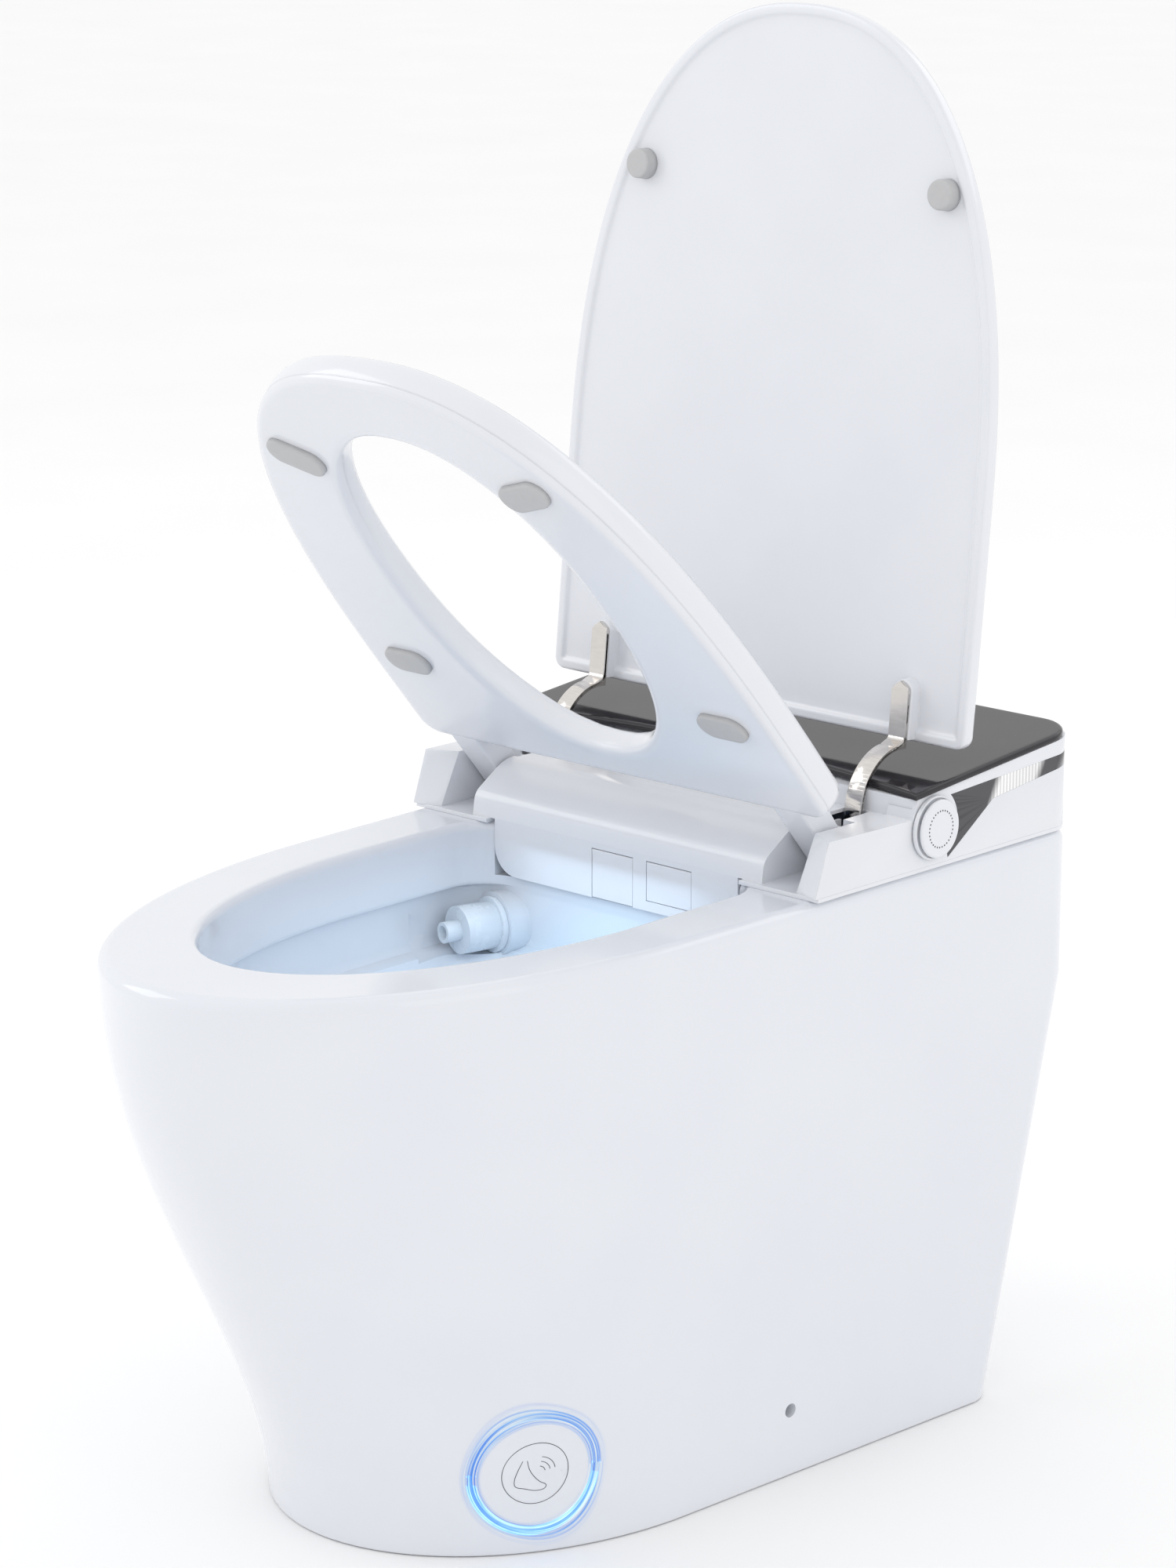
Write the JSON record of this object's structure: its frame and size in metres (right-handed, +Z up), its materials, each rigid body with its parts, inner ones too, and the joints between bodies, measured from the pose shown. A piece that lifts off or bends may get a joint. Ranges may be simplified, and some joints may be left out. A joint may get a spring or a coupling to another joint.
{
  "type": "electric bidet toilet",
  "caption": "Skirted ceramic toilet with a built-in electric bidet seat unit: hinged lid and heated seat on drive motors, sliding wash wand, dryer, side knob and foot sensor.",
  "frame": {"origin": "centre of the waste outlet on the floor", "axes": "+Z up, -Y towards the user in front of the bowl, +Y towards the wall, +X towards the side with the control knob"},
  "size_m": [0.3848, 0.6998, 0.9704],
  "materials": {
    "glazed_ceramic": "glossy white glaze",
    "white_plastic": "gloss",
    "smoked_glass": "smoked mirror",
    "smoked_trim": "dark mirror with a bright section",
    "polished_metal": "polished",
    "steel": "brushed",
    "motor_metal": "zinc plated",
    "brass": "machined",
    "bumper_rubber": "matt light grey",
    "rubber": "matt black",
    "spout_plastic": "satin",
    "dark_plastic": "matt",
    "light_guide": "translucent blue white",
    "sensor_window": "gloss with an engraved symbol",
    "copper_foil": "foil",
    "board_green": "printed board"
  },
  "bodies": {
    "base": {"ceramic_pedestal": "glazed_ceramic", "floor_brackets": "steel", "outlet_gasket": "rubber", "flush_spout_body": "spout_plastic", "flush_spout_flange": "spout_plastic", "flush_spout_tip": "spout_plastic", "foot_sensor_window": "sensor_window", "sensor_light_ring": "light_guide", "foot_sensor_module": "dark_plastic", "unit_base_plate": "white_plastic", "unit_fixing_screws": "steel", "side_cover": "white_plastic", "deck_panel": "white_plastic", "front_skirt": "white_plastic", "glass_top": "smoked_glass", "glass_tray": "white_plastic", "side_trim_left": "smoked_trim", "side_trim_right": "smoked_trim", "knob_bezel": "white_plastic", "knob_encoder": "dark_plastic", "lid_bearing_blocks": "dark_plastic", "lid_drive_motor": "motor_metal", "seat_pin_bushes": "dark_plastic", "seat_drive_motor": "motor_metal", "wand_guide": "dark_plastic", "wand_motor": "motor_metal", "blower_housing": "dark_plastic", "blower_motor": "motor_metal", "water_heater": "dark_plastic", "solenoid_valve": "dark_plastic", "flush_pump": "dark_plastic", "water_tank": "white_plastic", "air_pump": "dark_plastic", "power_supply": "dark_plastic", "control_board": "board_green", "deodorizer_cartridge": "white_plastic", "inlet_connector": "brass", "power_gland": "dark_plastic", "heater_hose": "rubber", "wand_hose": "rubber", "flush_hose": "rubber", "night_light": "light_guide"},
    "lid": {"lid_shell": "white_plastic", "lid_bumpers": "bumper_rubber", "lid_hinge_arm_left": "polished_metal", "lid_hinge_arm_right": "polished_metal", "lid_hinge_pins": "steel"},
    "seat": {"seat_upper_shell": "white_plastic", "seat_lower_shell": "white_plastic", "seat_heater": "copper_foil", "seat_bumpers": "bumper_rubber", "seat_hinge_pins": "steel"},
    "wand": {"wand_tube": "steel", "wand_tip": "spout_plastic"},
    "nozzle_door": {"nozzle_door": "white_plastic"},
    "dryer_flap": {"dryer_flap": "white_plastic"},
    "knob_spindle": {"knob_spindle": "steel"},
    "knob_cap": {"knob_cap": "white_plastic"},
    "blower_wheel": {"blower_wheel": "dark_plastic"}
  },
  "joints": [
    {"name": "lid_hinge", "type": "hinge", "parent": "base", "child": "lid", "pos_m": [0, 0.147, 0.444], "axis": [1, 0, 0], "range_deg": [0, 95.75]},
    {"name": "seat_hinge", "type": "hinge", "parent": "base", "child": "seat", "pos_m": [0, 0.071, 0.424], "axis": [1, 0, 0], "range_deg": [0, 49.5]},
    {"name": "wand_slide", "type": "slide", "parent": "base", "child": "wand", "axis": [0, -0.9272, -0.3746], "range_m": [0, 0.095]},
    {"name": "nozzle_door_hinge", "type": "hinge", "parent": "base", "child": "nozzle_door", "pos_m": [-0.001, 0.0192, 0.4075], "axis": [-1, 0, 0], "range_deg": [0, 88]},
    {"name": "dryer_flap_hinge", "type": "hinge", "parent": "base", "child": "dryer_flap", "pos_m": [0.0505, 0.0192, 0.4075], "axis": [-1, 0, 0], "range_deg": [0, 60], "stiffness_Nm_per_rad": 0.004},
    {"name": "knob_press", "type": "slide", "parent": "base", "child": "knob_spindle", "axis": [-1, 0, 0], "range_m": [0, 0.002], "stiffness_N_per_m": 900},
    {"name": "knob_turn", "type": "hinge", "parent": "knob_spindle", "child": "knob_cap", "pos_m": [0.193, 0.13, 0.4394], "axis": [1, 0, 0], "continuous": true},
    {"name": "blower_spin", "type": "hinge", "parent": "base", "child": "blower_wheel", "pos_m": [0.052, 0.105, 0.371], "axis": [1, 0, 0], "continuous": true}
  ],
  "couplings": [
    {"joint": "seat_hinge", "follows": "lid_hinge", "ratio": 0.51697},
    {"joint": "nozzle_door_hinge", "follows": "wand_slide", "rad_per_m": 16.1}
  ]
}
